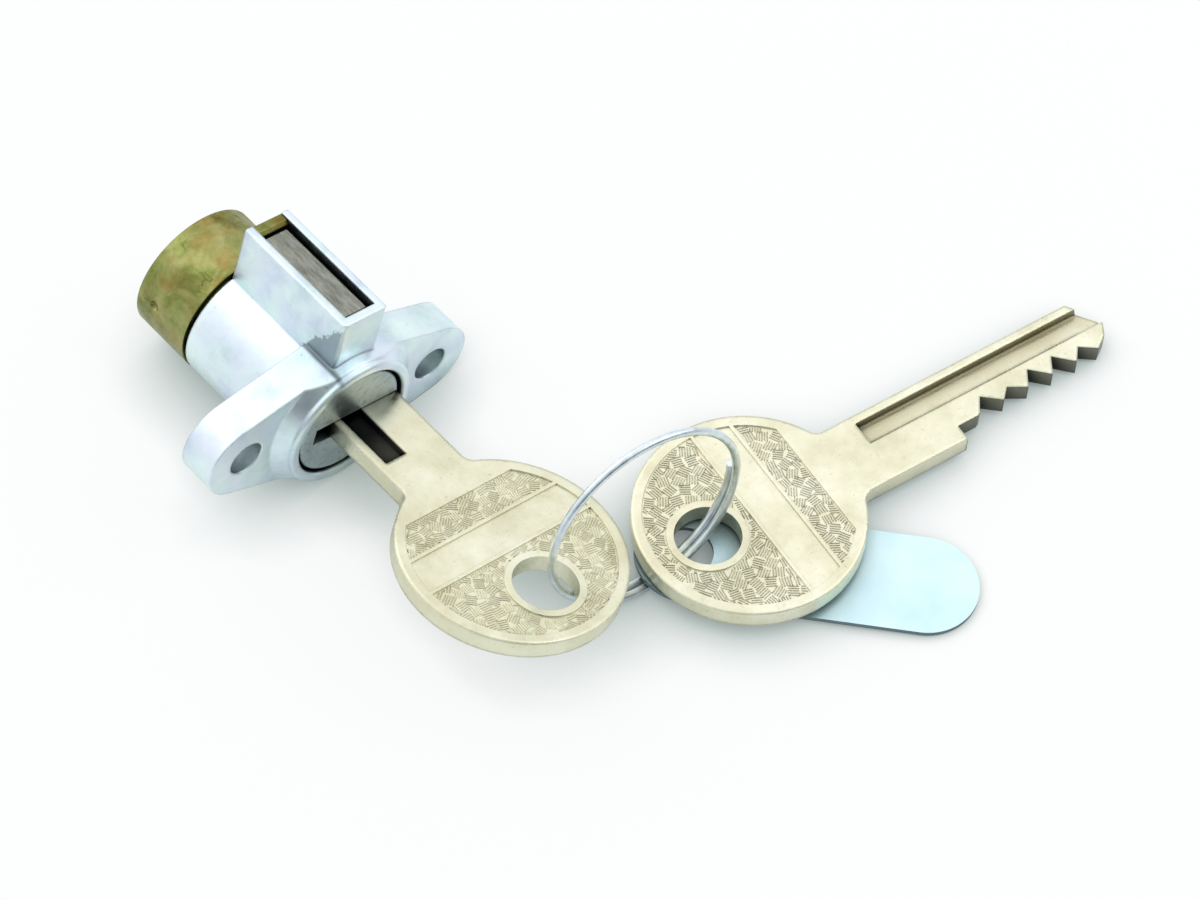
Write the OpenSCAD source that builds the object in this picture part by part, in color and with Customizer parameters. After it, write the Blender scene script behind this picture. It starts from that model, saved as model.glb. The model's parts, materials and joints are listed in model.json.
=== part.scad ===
// Toolbox lock: flanged die-cast lock with a sliding dead bolt, a wafer plug, two keys, a key ring and a tag.
// Millimetres. Origin on the plug axis in the flange's front plane, +Y into the lock, +Z up off the bench.

/* [Flange] */
// distance between the two screw holes
screw_pitch = 26; // [22:0.5:34]
// screw hole diameter
screw_hole_d = 4.2; // [3:0.1:5.5]
// radius of the flange outline round the plug
flange_mid_r = 8.45; // [8:0.05:11]
// radius of the flange ends round the screw holes
lobe_r = 4.9; // [4:0.1:6.5]
// flange thickness
flange_t = 4.4; // [2.5:0.1:6]

/* [Boss and barrel] */
// outer radius of the bright rim round the plug face
rim_r = 8.2; // [7.9:0.05:8.4]
// how far the rim stands in front of the flange
rim_proud = 2.0; // [1:0.1:3]
// width of the sloping flank between flange and rim
flank_w = 1.3; // [0.5:0.1:2]
// length of the straight land behind the rim
rim_land = 0.6; // [0.4:0.1:1]
// outer radius of the barrel behind the flange
barrel_r = 7.65; // [7.5:0.05:8.2]
// length of barrel and bolt box
barrel_l = 16.0; // [15.5:0.1:18]

/* [Bolt box] */
// outside width of the bolt box
box_w = 6.0; // [5.6:0.1:7]
// height of the box top above the plug axis
box_top = 14.5; // [13:0.1:17]
// width of the channel in which the bolt slides
channel_w = 4.1; // [3.8:0.1:4.6]
// thickness of the wall in front of the bolt
front_wall_t = 1.0; // [0.8:0.05:1]
// rounding of the upright front edges of the box
box_edge_r = 0.5; // [0.3:0.05:0.8]

/* [Bolt] */
// bolt thickness
bolt_t = 3.3; // [2.6:0.1:3.5]
// how far the bolt lies below the box top when it is drawn in
bolt_recess = 0.6; // [0.2:0.1:1.5]
// bolt throw for a quarter turn of the plug
bolt_throw = 4.0; // [3:0.1:4]
// width of the foot that rides on the cam
foot_w = 1.4; // [1:0.1:1.6]

/* [Plug] */
// radius of the plug face
head_r = 7.0; // [6.8:0.05:7.1]
// radius of the plug body
plug_r = 6.4; // [6.2:0.05:6.5]
// radius of the plug tail
tail_r = 4.6; // [4.2:0.1:4.8]
// how far the plug face lies behind the rim
face_set = 0.35; // [0.1:0.05:0.6]
// width of the gap between plug face and rim
face_gap = 0.4; // [0.2:0.05:0.5]
// running clearance of turning and sliding pieces
run_gap = 0.05; // [0.03:0.01:0.1]

/* [Rear cap] */
// outer radius of the cap
cap_r = 7.75; // [7.6:0.05:8.2]
// groove left open between barrel and cap
cap_groove = 0.5; // [0.3:0.05:1]

/* [Wafers] */
// distance of the first key cut from the shoulder, and of the last from the tip
bit_end = 4.2; // [4.1:0.05:4.3]
// wafer thickness
wafer_t = 0.8; // [0.6:0.05:0.9]
// travel of a wafer when the key is drawn
wafer_travel = 0.45; // [0.3:0.05:0.5]

/* [Keys] */
// key thickness
key_t = 2.2; // [1.8:0.1:2.2]
// radius of the round key bow
bow_r = 12.5; // [11:0.1:14]
// radius of the hole in the bow
bow_hole_r = 3.6; // [3.4:0.1:4]
// distance of the bow hole from the bow centre
bow_hole_off = 5.2; // [4.5:0.1:6]
// distance from the bow centre to the shoulder of the stem
shoulder_l = 25.2; // [24:0.1:25.3]
// distance from the bow centre to the key tip
key_l = 46.4; // [45.4:0.1:48]
// width of the key stem
stem_w = 8.8; // [8:0.1:8.9]
// radius of the hollow corners between stem and bow
neck_fillet_r = 1.6; // [0.8:0.1:2.5]
// width of the blade
blade_w = 6.9; // [6.4:0.1:7]
// blade left at each cut, from the spine
cut_h = [5.0, 5.5, 4.75, 4.7, 5.2];
// depth of the hatched fields of the bow
bow_relief = 0.2; // [0.1:0.05:0.4]

/* [Key ring and tag] */
// mean radius of the key ring
ring_r = 11.5; // [11.2:0.1:11.8]
// wire diameter of the key ring
ring_wire = 0.9; // [0.8:0.05:1]
// overlap of the two wire ends, degrees
ring_overlap = 110; // [60:5:140]
// tag width
tag_w = 11.6; // [10:0.1:13]
// tag length
tag_l = 36.5; // [30:0.5:45]
// tag thickness
tag_t = 0.6; // [0.4:0.05:0.6]
// radius of the hole in the tag
tag_hole_r = 3.0; // [2.9:0.1:3.2]

/* [Hidden] */
$fn = 64;
e = 0.01;

// the lock lies on one flat side of its flange, which leans it by this angle
lean = asin((flange_mid_r - lobe_r) / (screw_pitch / 2));
floor_z = -flange_mid_r;

// the key sets the depth of the plug, the cap and its disc
shoulder_y = 0.3;
bow_y = shoulder_y - shoulder_l;
key_tip_y = bow_y + key_l;
tail_l = 5.9;
tail_end = max(barrel_l + tail_l, key_tip_y + 0.4);
wafer_first = shoulder_y + bit_end;
wafer_pitch = (key_l - shoulder_l - 2 * bit_end) / 4;

// housing
flank_r = rim_r + flank_w;
rim_edge = 0.25;
head_bore_r = head_r + run_gap;
mouth_r = head_bore_r + 0.2;
bore_r = plug_r + run_gap;
head_back = 1.2;
head_bore_back = head_back + run_gap;
neck_r = 7.0;
neck_l = 1.0;
groove_half = 2.75;
groove_r = plug_r - 0.1 + wafer_travel + 0.2;

// rear cap
cap_front = barrel_l + cap_groove;
tab_front = barrel_l - 1.3;
web_back_l = 3.45;
web_front = tail_end - web_back_l;
web_t = 0.6;
rear_bore_r = 6.6;
disc_r = 6.9;
disc_front = tail_end + 0.5;
disc_t = 0.8;
cap_end = disc_front + disc_t + 0.8;
tab_top = box_top - 0.2;
tab_edge = 0.4;
stake_in = 0.35;
dimple_r = 0.7;
dimple_a = -177.5;
dimple_y = cap_end - 2.52;

// plug
body_end = web_front - run_gap;
face_y = face_set - rim_proud;
face_r = head_bore_r - face_gap;
face_l = 1.3;
face_edge = 0.15;
face_slot_l = -4.9;
face_slot_r = 6.55;
slot_half = key_t / 2 + 0.1;
slot_l = -2.55;
slot_r = 4.65;
cam_front = 1.45;
cam_back = 3.7;
cam_low = 2.4;
cam_wall = 1.0;
clip_front = web_front + web_t + run_gap;
clip_t = 0.6;
clip_groove_r = 4.3;
clip_in_r = clip_groove_r + run_gap;
clip_r = 6.0;

// bolt
bolt_l = -channel_w / 2 + 0.1;
bolt_r = bolt_l + bolt_t;
bolt_front = front_wall_t + 0.25;
bolt_back = tab_front - 0.2;
bolt_top = box_top - bolt_recess;
bolt_low = bore_r + 0.2;
bolt_edge = 0.3;
foot_front = cam_front + 0.25;
foot_back = cam_back - 0.3;
foot_low = cam_low + 0.4;
spring_wire = 0.4;
spring_x = (bolt_r + channel_w / 2) / 2;
spring_z = 9.4;
hook_y = 4.2;
hook_in = 0.7;

// wafers
wafer_r = plug_r - 0.1;
wafer_half = 2.6;
window_l = slot_l - 0.2;
window_r = 5.2;
ear_top = 4.3;
ear_l = 0.9;
ear_r = 1.7;
coil_mean = 0.6;
coil_wire = 0.3;
coil_end = 4.3;
coil_turns = 4;
coil_z = 3.45;

// keys
spine = stem_w / 2 + 0.2;
bow_x = 2.15;
peak_h = 6.7;
cut_first = wafer_first - bow_y;
drop_l = 1.2;
groove_l = 9.2;
groove_start = shoulder_l - groove_l;
band_low = 0.25;
band_high = 4.6;
ridge_w = 0.4;
neck_bite = 0.02;
field_top = 8.5;
field_r = bow_r - 1.2;
hole_rim_r = bow_hole_r + 0.8;

// where the ring, the spare key and the tag lie on the bench
ring_x = 14.1;
ring_back = 7.1;
ring_lift = 0.05;
ring_c = [ring_x, bow_y - ring_back, floor_z + ring_lift + ring_wire / 2 + ring_r];
ring_tip = 84.1;
ring_yaw = -6.3;
ring_start = -4;
ring_pitch = ring_wire + 0.08;
spare_x = 25.9;
spare_back = 10.8;
spare_lift = 3.2;
spare_c = [spare_x, bow_y - spare_back, floor_z + spare_lift];
spare_yaw = -98.6;
spare_dip = -2.0;
spare_roll = -1.5;
tag_x = 18.8;
tag_back = 8.8;
tag_lift = 1.22;
tag_c = [tag_x, bow_y - tag_back, floor_z + tag_lift + tag_t / 2];
tag_yaw = -48.6;
tag_dip = 2.0;
tag_end = tag_w / 2 - 0.4;

// cylinder or cone along +Y
module y_cyl(y0, y1, r0, r1)
    translate([0, y0, 0])
        rotate([-90, 0, 0])
            cylinder(h = y1 - y0, r1 = r0, r2 = r1);

// flat shape in X and Z, drawn out along Y
module y_ext(y0, y1)
    translate([0, y1, 0])
        rotate([90, 0, 0])
            linear_extrude(y1 - y0)
                children();

// flat shape in Y and Z, drawn out along X
module x_ext(x0, x1)
    translate([x0, 0, 0])
        rotate([90, 0, 90])
            linear_extrude(x1 - x0)
                children();

// box between two corners
module block(a, b)
    translate(a)
        cube(b - a);

// the lean of the lock on the bench
module leaned()
    rotate([0, lean, 0])
        children();

// tangent outline of the two-hole flange
module flange_outline() {
    tn = [sin(lean), cos(lean)];
    mid = flange_mid_r * tn;
    lobe = [screw_pitch / 2, 0] + lobe_r * tn;
    circle(r = flange_mid_r);
    for (s = [-1, 1])
        translate([s * screw_pitch / 2, 0])
            circle(r = lobe_r);
    polygon([
        mid,
        lobe,
        [lobe[0], -lobe[1]],
        [mid[0], -mid[1]],
        [-mid[0], -mid[1]],
        [-lobe[0], -lobe[1]],
        [-lobe[0], lobe[1]],
        [-mid[0], mid[1]]
    ]);
}

// rectangle that is centred in its width, with the two corners at its start rounded
module soft_rect(w, l, r) {
    translate([-w / 2, r])
        square([w, l - r]);
    translate([r - w / 2, 0])
        square([w - 2 * r, l]);
    for (s = [-1, 1])
        translate([s * (w / 2 - r), r])
            circle(r = r);
}

// outside of the bolt box
module box_outside()
    intersection() {
        linear_extrude(box_top)
            soft_rect(box_w, barrel_l, box_edge_r);
        y_ext(0, barrel_l)
            translate([0, box_top])
                mirror([0, 1])
                    soft_rect(box_w, box_top, box_edge_r / 2);
    }

// grooves in which the wafers catch when the key is drawn
module wafer_grooves(y0, y1) {
    block([-groove_r, y0, -groove_half], [0, y1, groove_half]);
    block([-groove_half, y0, 0], [groove_half, y1, groove_r]);
}

module housing()
    color("silver")
        leaned()
            difference() {
                union() {
                    y_ext(0, flange_t)
                        flange_outline();
                    intersection() {
                        union() {
                            y_cyl(-rim_proud, rim_edge - rim_proud, rim_r - rim_edge, rim_r);
                            y_cyl(rim_edge - rim_proud - e, e - rim_proud + rim_land, rim_r, rim_r);
                            y_cyl(-rim_proud + rim_land, 0, rim_r, flank_r);
                        }
                        y_ext(-rim_proud - 1, 1)
                            flange_outline();
                    }
                    y_cyl(0, barrel_l, barrel_r, barrel_r);
                    box_outside();
                }
                for (s = [-1, 1])
                    translate([s * screw_pitch / 2, 0, 0])
                        y_cyl(-1, flange_t + 1, screw_hole_d / 2, screw_hole_d / 2);
                y_cyl(-rim_proud - e, -rim_proud + 0.2, mouth_r, head_bore_r);
                y_cyl(-rim_proud - e, head_bore_back, head_bore_r, head_bore_r);
                y_cyl(0, barrel_l + 1, bore_r, bore_r);
                y_cyl(barrel_l - neck_l, barrel_l + 1, neck_r, neck_r);
                block([-channel_w / 2, front_wall_t, 0], [channel_w / 2, barrel_l + 1, box_top + 1]);
                wafer_grooves(cam_back, barrel_l + 1);
            }

module rear_cap()
    color("goldenrod")
        leaned() {
            cap_shell();
            for (a = [45 : 90 : 315])
                rotate([0, a, 0])
                    block([disc_r - stake_in, disc_front + disc_t + 0.02, -0.5],
                        [disc_r + 0.1, cap_end - 0.3, 0.5]);
        }

// cap without the stakes that hold its disc
module cap_shell()
    difference() {
        union() {
            y_cyl(cap_front, cap_end, cap_r, cap_r);
            y_cyl(barrel_l - neck_l + 0.1, cap_front + e, neck_r - 0.02, neck_r - 0.02);
            x_ext(-channel_w / 2 + run_gap, channel_w / 2 - run_gap)
                polygon([
                    [tab_front, bore_r + 0.1],
                    [tab_front, tab_top - tab_edge],
                    [tab_front + tab_edge, tab_top],
                    [barrel_l, tab_top],
                    [barrel_l, bore_r + 0.1]
                ]);
            block([-channel_w / 2 + run_gap, tab_front, bore_r + 0.1],
                [channel_w / 2 - run_gap, cap_front + 0.5, barrel_r - 0.1]);
        }
        y_cyl(tab_front - 1, web_front, bore_r, bore_r);
        y_cyl(web_front - 1, disc_front + 1, tail_r + 0.1, tail_r + 0.1);
        y_cyl(web_front + web_t, disc_front + 1, rear_bore_r, rear_bore_r);
        y_cyl(disc_front, cap_end + 1, disc_r, disc_r);
        wafer_grooves(tab_front - 1, web_front);
        translate([spring_x, tab_front - 1, spring_z])
            y_cyl(0, 1.8, spring_wire / 2 + 0.03, spring_wire / 2 + 0.03);
        rotate([0, dimple_a, 0])
            translate([cap_r + 0.3, dimple_y, 0])
                sphere(r = dimple_r);
    }

module end_disc()
    color("gray")
        leaned()
            y_cyl(disc_front, disc_front + disc_t, disc_r - 0.02, disc_r - 0.02);

module bolt()
    color("dimgray")
        leaned()
            difference() {
                union() {
                    x_ext(bolt_l, bolt_r)
                        polygon([
                            [bolt_front, bolt_low],
                            [bolt_front, bolt_top - bolt_edge],
                            [bolt_front + bolt_edge, bolt_top],
                            [bolt_back - bolt_edge, bolt_top],
                            [bolt_back, bolt_top - bolt_edge],
                            [bolt_back, bolt_low]
                        ]);
                    block([-foot_w / 2, foot_front, foot_low + foot_w / 2],
                        [foot_w / 2, foot_back, bolt_low + e]);
                    translate([0, 0, foot_low + foot_w / 2])
                        y_cyl(foot_front, foot_back, foot_w / 2, foot_w / 2);
                }
                translate([bolt_r - hook_in - 0.2, hook_y, spring_z])
                    rotate([0, 90, 0])
                        cylinder(h = 2, r = spring_wire / 2 + 0.04);
            }

module bolt_spring()
    color("silver")
        leaned() {
            translate([spring_x, 0, spring_z])
                y_cyl(hook_y, tab_front + 0.7, spring_wire / 2, spring_wire / 2);
            translate([bolt_r - hook_in, hook_y, spring_z])
                rotate([0, 90, 0])
                    cylinder(h = spring_x - bolt_r + hook_in, r = spring_wire / 2);
            translate([spring_x, hook_y, spring_z])
                sphere(r = spring_wire / 2);
        }

// spiral floor of the cam, seen from the front, from above the blade round to the left
cam_floor = [for (a = [90 : 5 : 180])
    let (r = cam_low + bolt_throw * (a - 90) / 90) [r * cos(a), r * sin(a)]];

module plug()
    color("slategray")
        leaned()
            difference() {
                union() {
                    y_cyl(face_y, face_y + face_edge, face_r - face_edge, face_r);
                    y_cyl(face_y + face_edge - e, face_y + face_l, face_r, face_r);
                    y_cyl(face_y + face_l - e, head_back, head_r, head_r);
                    y_cyl(head_back - e, body_end, plug_r, plug_r);
                    y_cyl(body_end - e, tail_end, tail_r, tail_r);
                }
                block([face_slot_l, face_y - 1, -slot_half], [face_slot_r, 0.5, slot_half]);
                block([slot_l, -1, -slot_half], [slot_r, tail_end + 1, slot_half]);
                y_ext(cam_front, cam_back)
                    polygon(concat(
                        [[cam_wall, cam_low]],
                        cam_floor,
                        [[-head_r, 0], [-head_r, head_r], [cam_wall, head_r]]
                    ));
                for (i = [0 : 4])
                    translate([0, wafer_first + i * wafer_pitch, 0])
                        wafer_slot();
                difference() {
                    y_cyl(clip_front - run_gap, clip_front + clip_t + run_gap, tail_r + 1, tail_r + 1);
                    y_cyl(clip_front - 1, clip_front + 2, clip_groove_r, clip_groove_r);
                }
            }

// slot for one wafer with the pocket of its spring
module wafer_slot() {
    half = wafer_t / 2 + run_gap;
    block([-head_r, -half, -wafer_half - run_gap], [head_r, half, wafer_half + run_gap]);
    block([ear_l - wafer_travel - 0.1, -half, 0], [ear_r + 0.1, half, ear_top + run_gap]);
    translate([ear_l, 0, coil_z])
        rotate([0, 90, 0])
            cylinder(h = coil_end + 0.05 - ear_l, r = coil_mean + coil_wire / 2 + run_gap);
}

module retaining_clip()
    color("gray")
        leaned()
            difference() {
                y_cyl(clip_front, clip_front + clip_t, clip_r, clip_r);
                y_cyl(clip_front - 1, clip_front + clip_t + 1, clip_in_r, clip_in_r);
                block([-2.6, clip_front - 1, -clip_r - 1], [2.6, clip_front + clip_t + 1, 0]);
            }

module wafer(i)
    color("tan")
        leaned()
            translate([0, wafer_first + (i - 1) * wafer_pitch, 0])
                difference() {
                    union() {
                        intersection() {
                            y_cyl(-wafer_t / 2, wafer_t / 2, wafer_r, wafer_r);
                            block([-head_r, -1, -wafer_half], [head_r, 1, wafer_half]);
                        }
                        block([ear_l, -wafer_t / 2, 0], [ear_r, wafer_t / 2, ear_top]);
                    }
                    block([window_l, -1, -slot_half - 0.1], [window_r, 1, slot_half + 0.1]);
                }

// round wire wound into a coil about Z
function coil_ring(r, z, a, w, n) = [for (k = [0 : n - 1])
    let (b = 360 * k / n, q = r + w / 2 * cos(b)) [q * cos(a), q * sin(a), z + w / 2 * sin(b)]];

module coil(r, w, a0, a1, rise, steps, n) {
    pts = [for (i = [0 : steps])
        let (t = i / steps, a = a0 + (a1 - a0) * t)
            each coil_ring(r, rise * (t - 0.5), a, w, n)];
    sides = [for (i = [0 : steps - 1], k = [0 : n - 1])
        [i * n + k, i * n + (k + 1) % n, (i + 1) * n + (k + 1) % n, (i + 1) * n + k]];
    first = [for (k = [n - 1 : -1 : 0]) k];
    last = [for (k = [0 : n - 1]) steps * n + k];
    polyhedron(points = pts, faces = concat(sides, [first], [last]));
}

module wafer_spring(i) {
    spring_l = coil_end - ear_r - coil_wire - 0.04;
    color("silver")
        leaned()
            translate([(coil_end + ear_r) / 2, wafer_first + (i - 1) * wafer_pitch, coil_z])
                rotate([0, 90, 0])
                    coil(coil_mean, coil_wire, 0, -360 * coil_turns, spring_l, 12 * coil_turns, 6);
}

// saw cuts of the blade, from the shoulder to the tip, as distance from the bow centre and from the spine
function cut_point(i) = [
    [cut_first + i * wafer_pitch - drop_l, peak_h],
    [cut_first + i * wafer_pitch, cut_h[i]]
];
blade_outline = concat(
    [[0, 0], [0, blade_w], [cut_first - drop_l - 0.4, blade_w]],
    [for (i = [0 : 4]) each cut_point(i)],
    [
        [cut_first + 4 * wafer_pitch + 1.8, peak_h - 0.2],
        [key_l - 0.8, peak_h - 1.3],
        [key_l, peak_h - 2.7],
        [key_l - 0.2, 3.2],
        [key_l - 2.2, 0]
    ]
);

// flat key lying in X and Y, bow centre at the origin, tip along +Y, cuts towards +X
module key_body() {
    difference() {
        union() {
            translate([0, 0, -key_t / 2])
                cylinder(h = key_t, r = bow_r, $fn = 128);
            block([-spine, 0, -key_t / 2], [stem_w - spine, shoulder_l, key_t / 2]);
            translate([-spine, 0, -key_t / 2])
                linear_extrude(key_t)
                    polygon([for (p = blade_outline) [p[1], p[0]]]);
            mirror([1, 0, 0])
                neck_corner(spine);
            neck_corner(stem_w - spine);
        }
        translate([0, -bow_hole_off, -key_t])
            cylinder(h = 2 * key_t, r = bow_hole_r);
        translate([-spine, key_l + 1, 0])
            rotate([90, 0, 0])
                linear_extrude(key_l + 1 - groove_start)
                    polygon([
                        [0.95, key_t],
                        [0.95, key_t / 2],
                        [1.1, key_t / 2 - 0.9],
                        [3.5, key_t / 2 - 0.6],
                        [3.9, key_t / 2],
                        [3.9, key_t]
                    ]);
        translate([-spine, groove_start, -key_t])
            block([4.0, 0, 0], [4.55, key_l, key_t / 2 + 0.4]);
        for (s = [0, 1])
            mirror([0, 0, s])
                bow_fields();
    }
}

// hollow corner between a stem edge at this distance from the middle and the bow
module neck_corner(edge) {
    c = [edge + neck_fillet_r, sqrt(pow(bow_r + neck_fillet_r, 2) - pow(edge + neck_fillet_r, 2))];
    translate([0, 0, -key_t / 2])
        linear_extrude(key_t)
            difference() {
                polygon([
                    [edge - 0.5, c[1]],
                    c,
                    c * bow_r / (bow_r + neck_fillet_r),
                    [edge - 0.5, field_top + 1]
                ]);
                translate(c)
                    circle(r = neck_fillet_r + neck_bite);
            }
}

// sunk fields of the bow inside its rim, parted by two ridges and by the rim of the hole
module bow_fields()
    difference() {
        translate([0, 0, key_t / 2 - bow_relief])
            cylinder(h = 1, r = field_r, $fn = 128);
        translate([0, -bow_hole_off, 0])
            cylinder(h = key_t, r = hole_rim_r);
        for (y = [band_low, band_high])
            block([-bow_r, y - ridge_w / 2, 0], [bow_r, y + ridge_w / 2, key_t]);
        block([-bow_r, field_top, 0], [bow_r, bow_r, key_t]);
    }

module key()
    color("khaki")
        leaned()
            translate([bow_x, bow_y, 0])
                key_body();

module spare_key()
    color("khaki")
        translate(spare_c)
            rotate([0, 0, spare_yaw])
                rotate([spare_dip, spare_roll, 0])
                    key_body();

module key_ring()
    color("lightsteelblue")
        translate(ring_c)
            rotate([ring_tip, 0, ring_yaw])
                coil(ring_r, ring_wire, ring_start, ring_start - 360 - ring_overlap,
                    ring_pitch * (360 + ring_overlap) / 360, 104, 10);

module key_tag()
    color("lightblue")
        translate(tag_c)
            rotate([0, 0, tag_yaw])
                rotate([0, tag_dip, 0])
                    translate([0, 0, -tag_t / 2])
                        difference() {
                            union() {
                                translate([tag_w / 2 - tag_end, 0, 0])
                                    cylinder(h = tag_t, r = tag_w / 2);
                                translate([tag_l - tag_end - tag_w / 2, 0, 0])
                                    cylinder(h = tag_t, r = tag_w / 2);
                                block([tag_w / 2 - tag_end, -tag_w / 2, 0],
                                    [tag_l - tag_end - tag_w / 2, tag_w / 2, tag_t]);
                            }
                            translate([0, 0, -1])
                                cylinder(h = 3, r = tag_hole_r);
                        }

housing();
rear_cap();
end_disc();
bolt();
bolt_spring();
plug();
retaining_clip();
wafer(1);  // wafer_1
wafer(2);  // wafer_2
wafer(3);  // wafer_3
wafer(4);  // wafer_4
wafer(5);  // wafer_5
wafer_spring(1);  // wafer_spring_1
wafer_spring(2);  // wafer_spring_2
wafer_spring(3);  // wafer_spring_3
wafer_spring(4);  // wafer_spring_4
wafer_spring(5);  // wafer_spring_5
key();
spare_key();
key_ring();
key_tag();
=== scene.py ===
import json
import math
import random

import bpy
from mathutils import Euler, Matrix, Vector


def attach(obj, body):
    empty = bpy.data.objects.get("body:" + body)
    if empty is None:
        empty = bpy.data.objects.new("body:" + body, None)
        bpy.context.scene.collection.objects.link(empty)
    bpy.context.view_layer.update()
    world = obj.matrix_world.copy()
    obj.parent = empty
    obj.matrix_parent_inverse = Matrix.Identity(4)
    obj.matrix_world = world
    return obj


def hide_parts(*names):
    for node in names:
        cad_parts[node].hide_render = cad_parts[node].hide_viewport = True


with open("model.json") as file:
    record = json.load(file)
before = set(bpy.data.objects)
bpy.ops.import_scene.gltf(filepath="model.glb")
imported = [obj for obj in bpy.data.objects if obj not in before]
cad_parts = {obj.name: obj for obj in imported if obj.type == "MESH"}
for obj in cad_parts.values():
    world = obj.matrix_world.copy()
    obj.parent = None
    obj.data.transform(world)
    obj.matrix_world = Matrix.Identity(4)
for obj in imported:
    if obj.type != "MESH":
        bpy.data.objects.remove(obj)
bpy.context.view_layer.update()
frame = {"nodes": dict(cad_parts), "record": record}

MM = 0.001
NODES = frame["nodes"]

# Sizes and places that follow the part's source, in millimetres and degrees.
SCREW_PITCH = 26.0
FLANGE_R = 8.45
LOBE_R = 4.9
FLANGE_T = 4.4
BOX_TOP = 14.5
KEY_T = 2.2
BOW_R = 12.5
BOW_X = 2.15
BOW_Y = -24.9
BOW_HOLE_R = 3.6
BOW_HOLE_OFF = 5.2
BOW_RELIEF = 0.2
FIELD_R = BOW_R - 1.2
FIELD_TOP = 8.5
HOLE_RIM_R = BOW_HOLE_R + 0.8
BAND = (0.05, 4.8)
STEM_W = 8.8
SHOULDER_L = 25.2
SPINE = STEM_W / 2 + 0.2
GROOVE = (0.95 - SPINE, 3.9 - SPINE)
GROOVE_START = SHOULDER_L - 9.2
RING_R = 11.5
RING_WIRE = 0.9
RING_START = -4.0
RING_SWEEP = 360.0 + 110.0
RING_PITCH = RING_WIRE + 0.08
RING_X = 14.1
RING_BACK = 7.1
RING_LIFT = 0.05
RING_YAW = -6.3
RING_TIP = 84.1
SPARE_X = 25.9
SPARE_BACK = 10.8
SPARE_LIFT = 3.2
SPARE_YAW = -98.6
SPARE_ROLL = -1.5
SPARE_DIP = -2.0
TAG_YAW = -48.6

# The lock lies on one flat side of its flange, which leans it.
LEAN = math.asin((FLANGE_R - LOBE_R) / (SCREW_PITCH / 2))
FLOOR_Z = -FLANGE_R
RING_Z = FLOOR_Z + RING_LIFT + RING_WIRE / 2 + RING_R


def turn(axis, degrees):
    return Matrix.Rotation(math.radians(degrees), 4, axis)


LOCK_PLACE = Matrix.Rotation(LEAN, 4, "Y")
KEY_PLACE = LOCK_PLACE @ Matrix.Translation((BOW_X, BOW_Y, 0.0))
SPARE_PLACE = (Matrix.Translation((SPARE_X, BOW_Y - SPARE_BACK, FLOOR_Z + SPARE_LIFT))
               @ turn("Z", SPARE_YAW) @ turn("Y", SPARE_ROLL) @ turn("X", SPARE_DIP))
RING_PLACE = (Matrix.Translation((RING_X, BOW_Y - RING_BACK, RING_Z))
              @ turn("Z", RING_YAW) @ turn("X", RING_TIP))

# Camera at the photo's viewing angle, in millimetres and degrees.
CAMERA_AT = (-189.006, -234.276, 473.198)
CAMERA_TURN = (32.04062, -1.56305, -41.64229)
CAMERA_LENS = 160.35
CAMERA_SENSOR = 36.0
CAMERA_NEAR = 10.0
CAMERA_FAR = 20000.0


def camera():
    data = bpy.data.cameras.new("camera")
    data.sensor_fit = "HORIZONTAL"
    data.sensor_width = CAMERA_SENSOR
    data.lens = CAMERA_LENS
    data.clip_start = CAMERA_NEAR * MM
    data.clip_end = CAMERA_FAR * MM
    obj = bpy.data.objects.new("camera", data)
    angles = Euler([math.radians(angle) for angle in CAMERA_TURN])
    obj.matrix_world = Matrix.LocRotScale(Vector(CAMERA_AT) * MM, angles, None)
    bpy.context.collection.objects.link(obj)
    bpy.context.scene.camera = obj


camera()
bpy.context.scene.view_settings.view_transform = "Standard"


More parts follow.
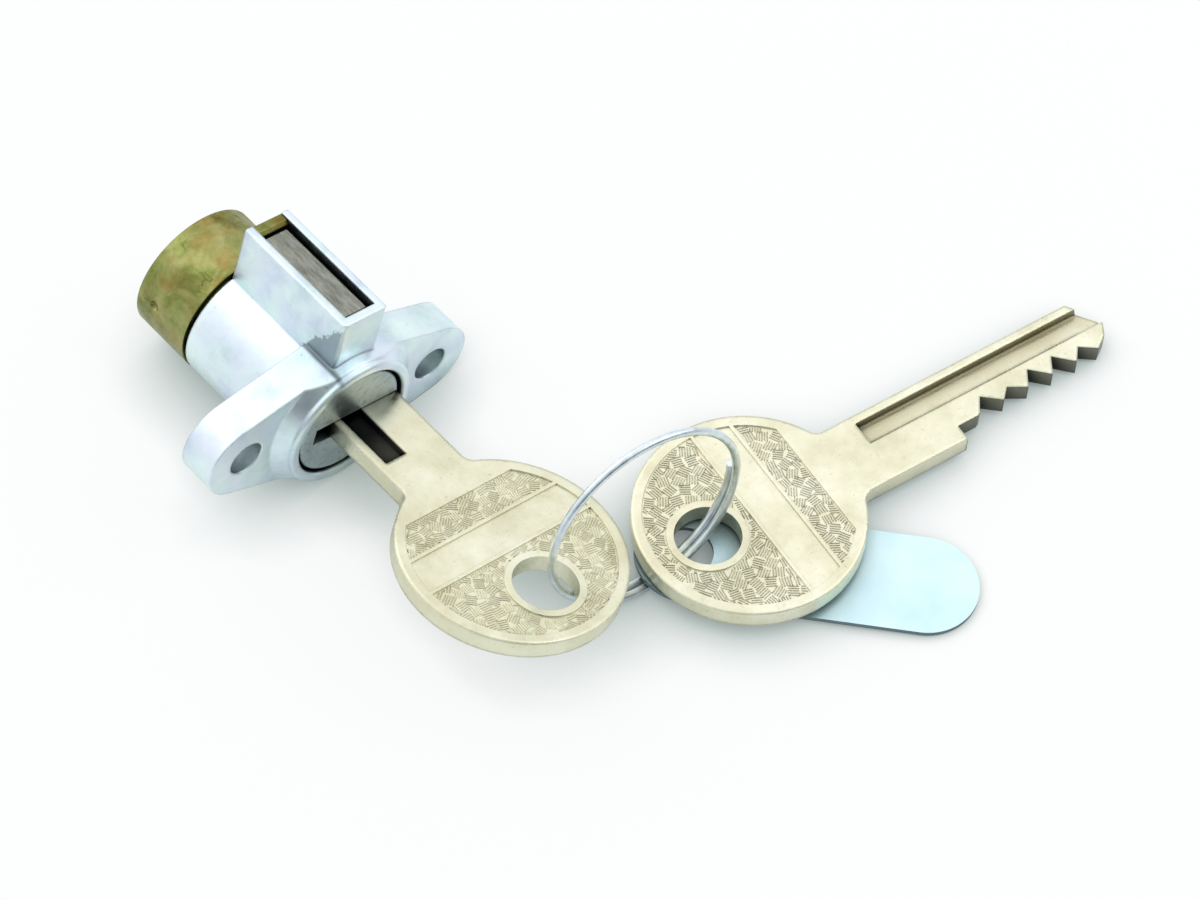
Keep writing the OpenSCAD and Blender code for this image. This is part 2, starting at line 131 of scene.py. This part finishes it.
class Graph:
    """Short forms for adding shader nodes to a tree and joining them."""

    def __init__(self, tree):
        self.tree = tree

    def add(self, kind, **values):
        node = self.tree.nodes.new(kind)
        for key, value in values.items():
            setattr(node, key, value)
        return node

    def link(self, output, socket):
        self.tree.links.new(output, socket)

    def feed(self, socket, value):
        """Set a socket to a number or a colour, or link it to an output."""
        if isinstance(value, (int, float)):
            socket.default_value = value
        elif isinstance(value, tuple):
            socket.default_value = value + (1.0,)
        else:
            self.link(value, socket)

    def ramp(self, value, stops):
        node = self.add("ShaderNodeValToRGB")
        items = node.color_ramp.elements
        while len(items) < len(stops):
            items.new(0.5)
        for item, (position, colour) in zip(items, stops):
            item.position = position
            item.color = colour + (1.0,)
        self.link(value, node.inputs["Fac"])
        return node.outputs["Color"]

    def levels(self, value, source, target=(0.0, 1.0)):
        """Map one span of values onto another, held at its ends."""
        node = self.add("ShaderNodeMapRange")
        for name, number in zip(("From Min", "From Max", "To Min", "To Max"), source + target):
            node.inputs[name].default_value = number
        self.link(value, node.inputs["Value"])
        return node.outputs["Result"]

    def rise(self, value, low, high):
        """0 up to low, 1 from high on, in millimetres."""
        return self.levels(value, (low * MM, high * MM))

    def fall(self, value, low, high):
        """1 up to low, 0 from high on, in millimetres."""
        return self.levels(value, (low * MM, high * MM), (1.0, 0.0))

    def calc(self, operation, *values):
        node = self.add("ShaderNodeMath", operation=operation)
        for socket, value in zip(node.inputs, values):
            self.feed(socket, value)
        return node.outputs["Value"]

    def product(self, first, *others):
        for other in others:
            first = self.calc("MULTIPLY", first, other)
        return first

    def mix(self, factor, a, b, blend="MIX"):
        node = self.add("ShaderNodeMix", data_type="RGBA", blend_type=blend)
        sockets = (node.inputs["Factor"], node.inputs[6], node.inputs[7])
        for socket, value in zip(sockets, (factor, a, b)):
            self.feed(socket, value)
        return node.outputs[2]

    def mix_numbers(self, factor, a, b):
        node = self.add("ShaderNodeMix", data_type="FLOAT")
        for name, value in (("Factor", factor), ("A", a), ("B", b)):
            self.link(value, node.inputs[name])
        return node.outputs["Result"]

    def mix_shaders(self, factor, a, b):
        node = self.add("ShaderNodeMixShader")
        for socket, value in zip(node.inputs, (factor, a, b)):
            self.link(value, socket)
        return node.outputs["Shader"]


class Surface(Graph):
    """A material with the piece's own coordinates, which are metres in the shared frame."""

    def __init__(self, name):
        self.mat = bpy.data.materials.new(name)
        self.mat.use_nodes = True
        super().__init__(self.mat.node_tree)
        self.bsdf = self.tree.nodes["Principled BSDF"]
        self.coord = self.add("ShaderNodeTexCoord").outputs["Object"]

    def mapped(self, vector, **settings):
        node = self.add("ShaderNodeMapping")
        for name, value in settings.items():
            node.inputs[name].default_value = value
        self.link(vector, node.inputs["Vector"])
        return node.outputs["Vector"]

    def placed(self, place):
        """Coordinates in the axes of a placed piece."""
        inner = place.inverted()
        return self.mapped(self.coord, Location=inner.to_translation() * MM, Rotation=inner.to_euler())

    def parts(self, vector):
        node = self.add("ShaderNodeSeparateXYZ")
        self.link(vector, node.inputs["Vector"])
        return node.outputs

    def normal(self):
        """The normal in the axes of the scene."""
        return self.add("ShaderNodeNewGeometry").outputs["Normal"]

    def noise(self, scale, detail=3.0, rough=0.55, vector=None, distortion=0.0):
        """Cloudy values, at a scale per metre of the piece or per unit of another vector."""
        node = self.add("ShaderNodeTexNoise")
        node.inputs["Scale"].default_value = scale
        node.inputs["Detail"].default_value = detail
        node.inputs["Roughness"].default_value = rough
        node.inputs["Distortion"].default_value = distortion
        self.link(vector or self.coord, node.inputs["Vector"])
        return node.outputs["Fac"]

    def bump(self, height, depth, strength, normal=None):
        node = self.add("ShaderNodeBump")
        node.inputs["Strength"].default_value = strength
        node.inputs["Distance"].default_value = depth * MM
        self.link(height, node.inputs["Height"])
        if normal is not None:
            self.link(normal, node.inputs["Normal"])
        return node.outputs["Normal"]

    def round_edges(self, radius):
        node = self.add("ShaderNodeBevel", samples=6)
        self.feed(node.inputs["Radius"], radius)
        return node.outputs["Normal"]

    def shade_openness(self, reach, span, dark, own=False):
        """Painted shade: 1 in the open, falling to dark where surfaces within reach close in."""
        node = self.add("ShaderNodeAmbientOcclusion", samples=8, only_local=own)
        node.inputs["Distance"].default_value = reach * MM
        return self.levels(node.outputs["AO"], span, (dark, 1.0))

    # Darkens a colour with painted shade where surfaces crowd in.
    def shade_hollows(self, colour, reach, span, dark):
        return self.mix(1.0, colour, self.shade_openness(reach, span, dark), "MULTIPLY")

    def finish(self, colour, rough, normal, metallic=1.0):
        self.bsdf.inputs["Metallic"].default_value = metallic
        self.link(colour, self.bsdf.inputs["Base Color"])
        self.link(rough, self.bsdf.inputs["Roughness"])
        self.link(normal, self.bsdf.inputs["Normal"])
        return self.mat


# Most values of a noise lie in this span.
NOISE_SPAN = (0.3, 0.7)

# Zinc-plated casting.
ZINC_TONES = [(0.30, (0.61, 0.70, 0.73)), (0.48, (0.78, 0.86, 0.87)), (0.70, (0.88, 0.93, 0.93))]
ZINC_TINTS = [(0.38, (0.96, 0.95, 1.05)), (0.62, (0.96, 1.03, 1.01))]
ZINC_FLECK = (0.30, 0.34, 0.35)
ZINC_DARK_PATCH = (0.15, 0.19, 0.20)

# Soft limits of the darker patch on the left side of the box, in the lock's own axes.
PATCH_LEFT = (-3.6, -3.3)
PATCH_RIGHT = (-3.1, -2.7)
PATCH_BACK = (4.6, 5.0)
PATCH_FOOT = (7.0, 7.8)
PATCH_EDGE = (-0.1, 0.4)
PATCH_RAGGED = (-1.6, 1.2)
PATCH_SHARE = 0.9


def dark_patch(n):
    """Its ragged upper edge falls from the top of the box at the front to the top of the flange."""
    local = n.parts(n.placed(LOCK_PLACE))
    slope = n.levels(local["Y"], (0.0, FLANGE_T * MM), (BOX_TOP * MM, FLANGE_R * MM))
    ragged = n.levels(n.noise(520.0, detail=5.0, rough=0.7), NOISE_SPAN,
                      tuple(limit * MM for limit in PATCH_RAGGED))
    below = n.calc("SUBTRACT", n.calc("ADD", slope, ragged), local["Z"])
    return n.product(
        n.rise(below, *PATCH_EDGE),
        n.fall(local["X"], *PATCH_RIGHT),
        n.calc("MULTIPLY", n.rise(local["Z"], *PATCH_FOOT), PATCH_SHARE),
        n.fall(local["Y"], *PATCH_BACK),
        n.rise(local["X"], *PATCH_LEFT),
    )


def zinc():
    n = Surface("zinc_casting")
    colour = n.ramp(n.noise(170.0, detail=4.0, rough=0.6), ZINC_TONES)
    colour = n.mix(1.0, colour, n.ramp(n.noise(230.0, detail=2.0), ZINC_TINTS), "MULTIPLY")
    fleck = n.levels(n.noise(1500.0, detail=4.0, rough=0.75), (0.60, 0.70), (0.0, 0.55))
    worn = n.levels(n.noise(240.0), (0.48, 0.62))
    colour = n.mix(n.product(fleck, worn), colour, ZINC_FLECK)
    # A darker patch low on the front of the left side of the box.
    colour = n.mix(dark_patch(n), colour, ZINC_DARK_PATCH)
    # Painted shade: narrow in creases, and wider in recesses and between parts.
    colour = n.shade_hollows(colour, reach=0.5, span=(0.35, 0.78), dark=0.35)
    colour = n.shade_hollows(colour, reach=5.0, span=(0.14, 0.60), dark=0.10)
    rough = n.levels(n.noise(500.0), NOISE_SPAN, (0.28, 0.42))
    grain = n.calc("MULTIPLY", n.noise(1600.0, rough=0.6), 0.4)
    height = n.calc("ADD", grain, n.noise(300.0, detail=2.0))
    edges = n.round_edges(0.4 * MM)
    return n.finish(colour, rough, n.bump(height, depth=0.07, strength=0.6, normal=edges))


# Yellow plate of the cap, clouded and finely cracked.
PLATE_TONES = [(0.28, (0.12, 0.11, 0.03)), (0.42, (0.23, 0.23, 0.07)),
               (0.55, (0.34, 0.33, 0.125)), (0.72, (0.46, 0.43, 0.20))]
PLATE_TINTS = [(0.35, (0.66, 0.84, 0.56)), (0.50, (1.0, 1.0, 1.0)), (0.66, (1.0, 0.72, 0.50))]
PLATE_TINT_SHARE = 0.7
PLATE_CRACK = (0.10, 0.08, 0.03)
CRACK_BEND = 1.2


def cracks(n):
    """Thin wavy lines along the edges of cells, in some places only."""
    warp = n.add("ShaderNodeTexNoise")
    warp.inputs["Scale"].default_value = 900.0
    n.link(n.coord, warp.inputs["Vector"])
    bend = n.add("ShaderNodeVectorMath", operation="MULTIPLY_ADD")
    n.link(warp.outputs["Color"], bend.inputs[0])
    bend.inputs[1].default_value = (CRACK_BEND * MM, CRACK_BEND * MM, CRACK_BEND * MM)
    n.link(n.coord, bend.inputs[2])
    cells = n.add("ShaderNodeTexVoronoi", feature="DISTANCE_TO_EDGE")
    cells.inputs["Scale"].default_value = 520.0
    n.link(bend.outputs["Vector"], cells.inputs["Vector"])
    line = n.levels(cells.outputs["Distance"], (0.006, 0.022), (1.0, 0.0))
    return n.product(line, n.levels(n.noise(420.0, detail=2.0), (0.56, 0.64)))


def yellow_plate():
    n = Surface("yellow_plate")
    colour = n.ramp(n.noise(230.0, detail=5.0, rough=0.65, distortion=0.4), PLATE_TONES)
    colour = n.mix(PLATE_TINT_SHARE, colour, n.ramp(n.noise(360.0), PLATE_TINTS), "MULTIPLY")
    crack = cracks(n)
    colour = n.mix(n.calc("MULTIPLY", crack, 0.6), colour, PLATE_CRACK)
    # Painted shade in recesses and creases.
    colour = n.shade_hollows(colour, reach=0.8, span=(0.30, 0.85), dark=0.25)
    rough = n.levels(n.noise(700.0), NOISE_SPAN, (0.28, 0.46))
    grain = n.calc("MULTIPLY", n.noise(1500.0), 0.3)
    height = n.calc("SUBTRACT", grain, n.calc("MULTIPLY", crack, 0.5))
    edges = n.round_edges(0.25 * MM)
    return n.finish(colour, rough, n.bump(height, depth=0.06, strength=0.6, normal=edges))


# Steel and brass with brush lines.
BLOTCH_TONE = 0.55


def brushed(name, low, high, scale, rough_span, edge):
    n = Surface(name)
    lines = n.noise(1.0, detail=4.0, rough=0.7, vector=n.mapped(n.coord, Scale=scale))
    colour = n.ramp(lines, [(NOISE_SPAN[0], low), (NOISE_SPAN[1], high)])
    blotch = n.levels(n.noise(300.0, detail=4.0, rough=0.7), (0.50, 0.75), (0.0, 0.45))
    colour = n.mix(blotch, colour, tuple(BLOTCH_TONE * value for value in low))
    # Painted shade in recesses and between parts.
    colour = n.shade_hollows(colour, reach=1.5, span=(0.25, 0.80), dark=0.15)
    rough = n.levels(lines, NOISE_SPAN, rough_span)
    edges = n.round_edges(edge * MM)
    return n.finish(colour, rough, n.bump(lines, depth=0.03, strength=0.5, normal=edges))


# Turned plug.
PLUG_TONES = [(0.3, (0.37, 0.43, 0.45)), (0.7, (0.57, 0.65, 0.67))]
PLUG_SPECK = (0.20, 0.21, 0.19)


def turned():
    n = Surface("plug_metal")
    rings = n.add("ShaderNodeTexWave", wave_type="RINGS", rings_direction="Y")
    rings.inputs["Scale"].default_value = 900.0
    rings.inputs["Distortion"].default_value = 1.5
    rings.inputs["Detail"].default_value = 3.0
    n.link(n.coord, rings.inputs["Vector"])
    cloud = n.noise(260.0, detail=4.0, rough=0.6)
    speck = n.levels(n.noise(1700.0, rough=0.7), (0.52, 0.72), (0.0, 0.6))
    colour = n.mix(speck, n.ramp(cloud, PLUG_TONES), PLUG_SPECK)
    # Painted shade, near black deep in the slot and recesses.
    colour = n.shade_hollows(colour, reach=4.0, span=(0.08, 0.42), dark=0.02)
    rough = n.levels(cloud, NOISE_SPAN, (0.38, 0.55))
    edges = n.round_edges(0.2 * MM)
    return n.finish(colour, rough, n.bump(rings.outputs["Fac"], depth=0.02, strength=0.4, normal=edges))


# Nickel of the keys, with painted shade on the cut flanks and a painted shadow in the groove.
KEY_TONES = [(0.30, (0.68, 0.65, 0.46)), (0.50, (0.79, 0.765, 0.57)), (0.70, (0.88, 0.86, 0.69))]
KEY_WARM = (0.66, 0.57, 0.37)
KEY_FLECK = (0.40, 0.38, 0.28)
KEY_FLANK_SHADE = (0.10, 0.10, 0.08)
FLANK_SHADE_SHARE = 0.85
FLANK_X = (-0.5, 0.0)
FLANK_Y = (SHOULDER_L - 0.2, SHOULDER_L + 0.1)
STEM_START = (12.0, 13.5)
DARK_GROOVE_SHADOW = (0.020, 0.020, 0.018)
BROWN_GROOVE_SHADE = (0.47, 0.40, 0.22)
SHADOW_END_SHARE = 0.92
SHADOW_END_L = 4.0
BOW_EDGE_R = (FIELD_R + 0.1, FIELD_R + 0.4)
BRUSH_SCALE = (2600.0, 160.0, 2600.0)


def shaded_flanks(n, axes, place):
    """Painted shade on the upright walls on the cut side of the bit, as the key lies at rest."""
    turned_in = n.add("ShaderNodeVectorRotate", rotation_type="EULER_XYZ")
    turned_in.inputs["Rotation"].default_value = place.inverted().to_euler()
    n.link(n.normal(), turned_in.inputs["Vector"])
    flatness = n.calc("ABSOLUTE", n.parts(turned_in.outputs["Vector"])["Z"])
    return n.product(
        n.levels(flatness, (0.2, 0.5), (FLANK_SHADE_SHARE, 0.0)),
        n.rise(axes["Y"], *FLANK_Y),
        n.rise(axes["X"], *FLANK_X),
    )


def painted_groove_shadow(n, axes, share, fade):
    """Painted shadow in the upper groove, from its spine side to where the shadow has faded."""
    top = KEY_T / 2
    ends = (GROOVE_START * MM, (GROOVE_START + SHADOW_END_L) * MM)
    return n.product(
        n.levels(axes["Y"], ends, (SHADOW_END_SHARE * share, share)),
        n.rise(axes["Y"], GROOVE_START - 0.1, GROOVE_START),
        n.rise(axes["X"], GROOVE[0] - 0.05, GROOVE[0]),
        n.fall(axes["X"], fade, GROOVE[1] + 0.05),
        n.rise(axes["Z"], 0.0, 0.1),
        n.fall(axes["Z"], top - 0.15, top - 0.05),
    )


def bow_edges(n, local):
    """Rounds the rim of the bow more than the rest of the key."""
    flat = n.add("ShaderNodeVectorMath", operation="MULTIPLY")
    flat.inputs[1].default_value = (1.0, 1.0, 0.0)
    n.link(local, flat.inputs[0])
    reach = n.add("ShaderNodeVectorMath", operation="LENGTH")
    n.link(flat.outputs["Vector"], reach.inputs[0])
    limits = tuple(radius * MM for radius in BOW_EDGE_R)
    return n.round_edges(n.levels(reach.outputs["Value"], limits, (0.1 * MM, 0.6 * MM)))


def key_metal(name, place, groove_shade, groove_shadow_colour, groove_shadow_share, groove_shadow_fade):
    n = Surface(name)
    local = n.placed(place)
    axes = n.parts(local)
    colour = n.ramp(n.noise(150.0, detail=4.0, rough=0.6), KEY_TONES)
    warm = n.levels(n.noise(420.0, detail=4.0, rough=0.65), (0.50, 0.75), (0.0, 0.35))
    colour = n.mix(warm, colour, KEY_WARM)
    fleck = n.levels(n.noise(1800.0, rough=0.7), (0.60, 0.72), (0.0, 0.35))
    colour = n.mix(fleck, colour, KEY_FLECK)
    # Painted shade on the cut flanks of the bit.
    colour = n.mix(shaded_flanks(n, axes, place), colour, KEY_FLANK_SHADE)
    # Painted shadow in the upper groove.
    colour = n.mix(painted_groove_shadow(n, axes, groove_shadow_share, groove_shadow_fade), colour, groove_shadow_colour)
    # Painted shade: shadow beside other pieces, shade deep in the groove on the stem, and shade between
    # the raised lines on the bow.
    beside = n.shade_openness(reach=5.0, span=(0.32, 0.80), dark=0.03)
    sunk = n.shade_openness(reach=3.0, span=(0.58, 1.0), dark=groove_shade, own=True)
    shallow = n.shade_openness(reach=0.3, span=(0.20, 0.80), dark=0.40)
    shade_tone = n.mix_numbers(n.rise(axes["Y"], *STEM_START), shallow, n.product(sunk, beside))
    colour = n.mix(1.0, colour, shade_tone, "MULTIPLY")
    rough = n.levels(n.noise(600.0), NOISE_SPAN, (0.24, 0.40))
    grain = n.calc("MULTIPLY", n.noise(2600.0, detail=2.0), 0.5)
    scratch = n.noise(1.0, rough=0.6, vector=n.mapped(local, Scale=BRUSH_SCALE))
    height = n.calc("ADD", grain, scratch)
    return n.finish(colour, rough, n.bump(height, depth=0.04, strength=0.5, normal=bow_edges(n, local)))


def wire(name, low, high, rough_span):
    n = Surface(name)
    lines = n.noise(900.0, rough=0.6)
    colour = n.ramp(lines, [(NOISE_SPAN[0], low), (NOISE_SPAN[1], high)])
    rough = n.levels(lines, NOISE_SPAN, rough_span)
    return n.finish(colour, rough, n.bump(lines, depth=0.01, strength=0.4))


# Pale sheet of the tag, with painted shade on its cut sides, which stand upright as the tag lies at
# rest.
TAG_TONES = [(0.3, (0.60, 0.82, 0.88)), (0.7, (0.72, 0.91, 0.94))]
TAG_SIDE_SHADE = (0.10, 0.14, 0.17)
TAG_BRUSH_SCALE = (90.0, 2600.0, 400.0)


def tag_sheet():
    n = Surface("tag_sheet")
    along = n.mapped(n.coord, Rotation=(0.0, 0.0, math.radians(-TAG_YAW)), Scale=TAG_BRUSH_SCALE)
    lines = n.noise(1.0, rough=0.6, vector=along)
    colour = n.ramp(n.noise(160.0), TAG_TONES)
    # Painted shade on faces that stand upright in the scene.
    flatness = n.calc("ABSOLUTE", n.parts(n.normal())["Z"])
    colour = n.mix(n.levels(flatness, (0.3, 0.7), (0.85, 0.0)), colour, TAG_SIDE_SHADE)
    # Painted shadow where the spare key and ring lie over the tag.
    colour = n.shade_hollows(colour, reach=4.0, span=(0.10, 0.75), dark=0.08)
    rough = n.levels(lines, NOISE_SPAN, (0.34, 0.46))
    return n.finish(colour, rough, n.bump(lines, depth=0.01, strength=0.3), metallic=0.5)


MATS = {
    "zinc_casting": zinc(),
    "yellow_plate": yellow_plate(),
    "plain_steel": brushed("plain_steel", (0.15, 0.155, 0.13), (0.40, 0.40, 0.34),
                           scale=(2200.0, 420.0, 2200.0), rough_span=(0.28, 0.46), edge=0.2),
    "plug_metal": turned(),
    "spring_wire": wire("spring_wire", (0.42, 0.43, 0.45), (0.66, 0.67, 0.69), rough_span=(0.2, 0.34)),
    "wafer_brass": brushed("wafer_brass", (0.60, 0.46, 0.20), (0.78, 0.64, 0.36),
                           scale=(200.0, 1800.0, 200.0), rough_span=(0.28, 0.42), edge=0.1),
    "key_metal": key_metal("key_metal", KEY_PLACE, groove_shade=0.02, groove_shadow_colour=DARK_GROOVE_SHADOW,
                           groove_shadow_share=1.0, groove_shadow_fade=GROOVE[1]),
    "ring_wire": wire("ring_wire", (0.58, 0.65, 0.69), (0.82, 0.88, 0.91), rough_span=(0.26, 0.42)),
    "tag_sheet": tag_sheet(),
}
for part in frame["record"]["subparts"]:
    slots = NODES[part["node"]].data.materials
    slots.clear()
    slots.append(MATS[part["material_slot"]])

# The spare key's groove gets lighter painted shade, tinted brown, than the key in the plug.
NODES["spare_key"].data.materials[0] = key_metal("spare_metal", SPARE_PLACE, groove_shade=0.85,
                                                 groove_shadow_colour=BROWN_GROOVE_SHADE, groove_shadow_share=0.62,
                                                 groove_shadow_fade=GROOVE[0] + 0.2)


def mesh_piece(name, verts, faces, body, slot):
    mesh = bpy.data.meshes.new(name)
    mesh.from_pydata([v * MM for v in verts], [], faces)
    mesh.update()
    mesh.materials.append(MATS[slot])
    piece = bpy.data.objects.new(name, mesh)
    bpy.context.collection.objects.link(piece)
    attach(piece, body)
    return piece


# Patches of short raised lines on the lowered fields of a bow.
HATCH_PITCH = 1.36
HATCH_LINES = 5
HATCH_GAP = 0.28
HATCH_LENGTH = 1.32
HATCH_SHORTEST = 0.85
HATCH_WIDTH = 0.18
HATCH_HEIGHT = 0.12
HATCH_SINK = 0.02
HATCH_INSET = 0.08
HATCH_MARGIN = 0.12
HATCH_SHIFT = 0.1
HATCH_ANGLES = (12.0, 35.0, 57.0, 80.0, 102.0, 125.0, 147.0, 170.0)
HATCH_TWIST = 8.0
CLIP_STEPS = 14
CLIP_LEAST = 4

# A line is a ridge with four corners at its foot and two at its crest.
RIDGE_FACES = ((0, 1, 2, 3), (0, 3, 5, 4), (1, 4, 5, 2), (0, 4, 1), (3, 2, 5))


def in_field(p):
    if p.length > FIELD_R - HATCH_MARGIN:
        return False
    if (p - Vector((0.0, -BOW_HOLE_OFF))).length < HOLE_RIM_R + HATCH_MARGIN:
        return False
    if p.y > FIELD_TOP - HATCH_MARGIN:
        return False
    return not BAND[0] - HATCH_MARGIN < p.y < BAND[1] + HATCH_MARGIN


def clipped(a, b):
    """The stretches of a line that lie in a field, without the shortest ones."""
    points = [a.lerp(b, i / CLIP_STEPS) for i in range(CLIP_STEPS + 1)]
    runs = []
    start = None
    for i, inside in enumerate([in_field(p) for p in points] + [False]):
        if inside and start is None:
            start = i
        if not inside and start is not None:
            if i - 1 - start >= CLIP_LEAST:
                runs.append((points[start], points[i - 1]))
            start = None
    return runs


def hatch_lines(rng):
    """The ends and directions of all lines on one side of a bow, patch by patch."""
    count = int(2 * BOW_R / HATCH_PITCH) + 2
    for i in range(count):
        for j in range(count):
            centre = Vector((i - count / 2 + 0.5 * (j % 2), j - count / 2)) * HATCH_PITCH
            shift_x = rng.uniform(-HATCH_SHIFT, HATCH_SHIFT)
            shift_y = rng.uniform(-HATCH_SHIFT, HATCH_SHIFT)
            centre += Vector((shift_x, shift_y))
            angle = math.radians(rng.choice(HATCH_ANGLES) + rng.uniform(-HATCH_TWIST, HATCH_TWIST))
            along = Vector((math.cos(angle), math.sin(angle)))
            across = Vector((-along.y, along.x))
            for k in range(HATCH_LINES):
                middle = centre + across * HATCH_GAP * (k - (HATCH_LINES - 1) / 2)
                half = along * HATCH_LENGTH / 2 * rng.uniform(HATCH_SHORTEST, 1.0)
                for start, end in clipped(middle - half, middle + half):
                    yield start, end, along, across


def bow_hatch(name, place, body, seed):
    rng = random.Random(seed)
    verts = []
    faces = []
    ground = KEY_T / 2 - BOW_RELIEF
    for side in (1, -1):
        low = side * (ground - HATCH_SINK)
        high = side * (ground + HATCH_HEIGHT)
        for start, end, along, across in hatch_lines(rng):
            base = len(verts)
            half = across * HATCH_WIDTH / 2
            inset = along * HATCH_INSET
            foot = (start - half, start + half, end + half, end - half)
            crest = (start + inset, end - inset)
            verts += [place @ Vector((p.x, p.y, low)) for p in foot]
            verts += [place @ Vector((p.x, p.y, high)) for p in crest]
            for corners in RIDGE_FACES:
                face = [base + corner for corner in corners]
                faces.append(face if side < 0 else face[::-1])
    mesh_piece(name, verts, faces, body, "key_metal")


bow_hatch("key_hatch", KEY_PLACE, "key", seed=11)
bow_hatch("spare_hatch", SPARE_PLACE, "spare_key", seed=23)

# The ring as one round wire.
RING_STEPS = 160
RING_SIDES = 20


def ring_wire():
    verts = []
    faces = []
    rise = RING_PITCH * RING_SWEEP / 360.0
    for i in range(RING_STEPS + 1):
        share = i / RING_STEPS
        angle = math.radians(RING_START - RING_SWEEP * share)
        radial = Vector((math.cos(angle), math.sin(angle), 0.0))
        centre = radial * RING_R + Vector((0.0, 0.0, rise * (share - 0.5)))
        for k in range(RING_SIDES):
            around = 2 * math.pi * k / RING_SIDES
            offset = radial * math.cos(around) + Vector((0.0, 0.0, math.sin(around)))
            verts.append(RING_PLACE @ (centre + offset * RING_WIRE / 2))
    for i in range(RING_STEPS):
        near = i * RING_SIDES
        far = near + RING_SIDES
        for k in range(RING_SIDES):
            following = (k + 1) % RING_SIDES
            faces.append((near + k, near + following, far + following, far + k))
    first_end = range(RING_SIDES)
    faces.append(tuple(first_end)[::-1])
    faces.append(tuple(RING_STEPS * RING_SIDES + k for k in first_end))
    piece = mesh_piece("ring_wire", verts, faces, "key_ring", "ring_wire")
    for poly in piece.data.polygons[:-2]:
        poly.use_smooth = True
    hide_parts("key_ring")


ring_wire()

# Floor: mostly glow to the camera, less so in mirrors, with a painted shadow that darkens the glow near
# the pieces.
FLOOR_HALF = 1500.0
FLOOR_DROP = 0.02
FLOOR_COLOUR = (0.82, 0.87, 0.87)
FLOOR_SHADOW_TONES = [(0.05, (0.16, 0.18, 0.18)), (0.45, (0.52, 0.59, 0.57)), (0.92, (1.0, 1.0, 1.0))]
FLOOR_SHADOW_REACH = 10.0
CAMERA_SHARE = 0.85
MIRROR_SHARE = 0.35


def floor_material():
    mat = bpy.data.materials.new("floor")
    mat.use_nodes = True
    g = Graph(mat.node_tree)
    g.tree.nodes.clear()
    # Painted shadow: the glow darkens where pieces come near.
    close = g.add("ShaderNodeAmbientOcclusion")
    close.inputs["Distance"].default_value = FLOOR_SHADOW_REACH * MM
    glow = g.add("ShaderNodeEmission")
    g.link(g.ramp(close.outputs["AO"], FLOOR_SHADOW_TONES), glow.inputs["Color"])
    diffuse = g.add("ShaderNodeBsdfDiffuse")
    g.feed(diffuse.inputs["Color"], FLOOR_COLOUR)
    path = g.add("ShaderNodeLightPath").outputs
    seen = g.calc("MULTIPLY", path["Is Camera Ray"], CAMERA_SHARE)
    share = g.calc("MULTIPLY_ADD", path["Is Glossy Ray"], MIRROR_SHARE, seen)
    surface = g.mix_shaders(share, diffuse.outputs["BSDF"], glow.outputs["Emission"])
    g.link(surface, g.add("ShaderNodeOutputMaterial").inputs["Surface"])
    return mat


def floor():
    half = FLOOR_HALF * MM
    z = (FLOOR_Z - FLOOR_DROP) * MM
    mesh = bpy.data.meshes.new("floor")
    corners = [(-half, -half, z), (half, -half, z), (half, half, z), (-half, half, z)]
    mesh.from_pydata(corners, [], [(0, 1, 2, 3)])
    mesh.materials.append(floor_material())
    piece = bpy.data.objects.new("floor", mesh)
    bpy.context.collection.objects.link(piece)


# The studio is bright above and behind the lock, and dim towards its front.
BRIGHT_SIDE = (0.0, 0.737, 0.676)
STUDIO_TONES = [(0.30, (0.10, 0.11, 0.12)), (0.45, (0.30, 0.33, 0.35)),
                (0.62, (0.66, 0.70, 0.72)), (0.95, (0.95, 0.96, 0.98))]
STUDIO_STRENGTH = 1.25
WHITE = (1.0, 1.0, 1.0)


def studio():
    world = bpy.data.worlds.new("studio")
    bpy.context.scene.world = world
    world.use_nodes = True
    g = Graph(world.node_tree)
    dot = g.add("ShaderNodeVectorMath", operation="DOT_PRODUCT")
    dot.inputs[1].default_value = BRIGHT_SIDE
    g.link(g.add("ShaderNodeTexCoord").outputs["Generated"], dot.inputs[0])
    spread = g.levels(dot.outputs["Value"], (-1.0, 1.0))
    light = g.tree.nodes["Background"]
    light.inputs["Strength"].default_value = STUDIO_STRENGTH
    g.link(g.ramp(spread, STUDIO_TONES), light.inputs["Color"])
    backdrop = g.add("ShaderNodeBackground")
    g.feed(backdrop.inputs["Color"], WHITE)
    seen = g.add("ShaderNodeLightPath").outputs["Is Camera Ray"]
    surface = g.mix_shaders(seen, light.outputs["Background"], backdrop.outputs["Background"])
    g.link(surface, g.tree.nodes["World Output"].inputs["Surface"])


# Two soft square lamps, placed in metres.
LAMP_SIZE = 0.60
LAMP_TARGET = Vector((0.02, -0.02, 0.0))


def lamp(name, place, power, colour):
    data = bpy.data.lights.new(name, "AREA")
    data.shape = "RECTANGLE"
    data.size = LAMP_SIZE
    data.size_y = LAMP_SIZE
    data.energy = power
    data.color = colour
    obj = bpy.data.objects.new(name, data)
    obj.location = place
    aim = LAMP_TARGET - Vector(place)
    obj.rotation_euler = aim.to_track_quat("-Z", "Y").to_euler()
    bpy.context.collection.objects.link(obj)


floor()
studio()
lamp("key_light", (-0.05, 0.50, 0.42), power=0.8, colour=(0.97, 0.99, 1.0))
lamp("fill_light", (0.45, -0.30, 0.45), power=1.2, colour=WHITE)
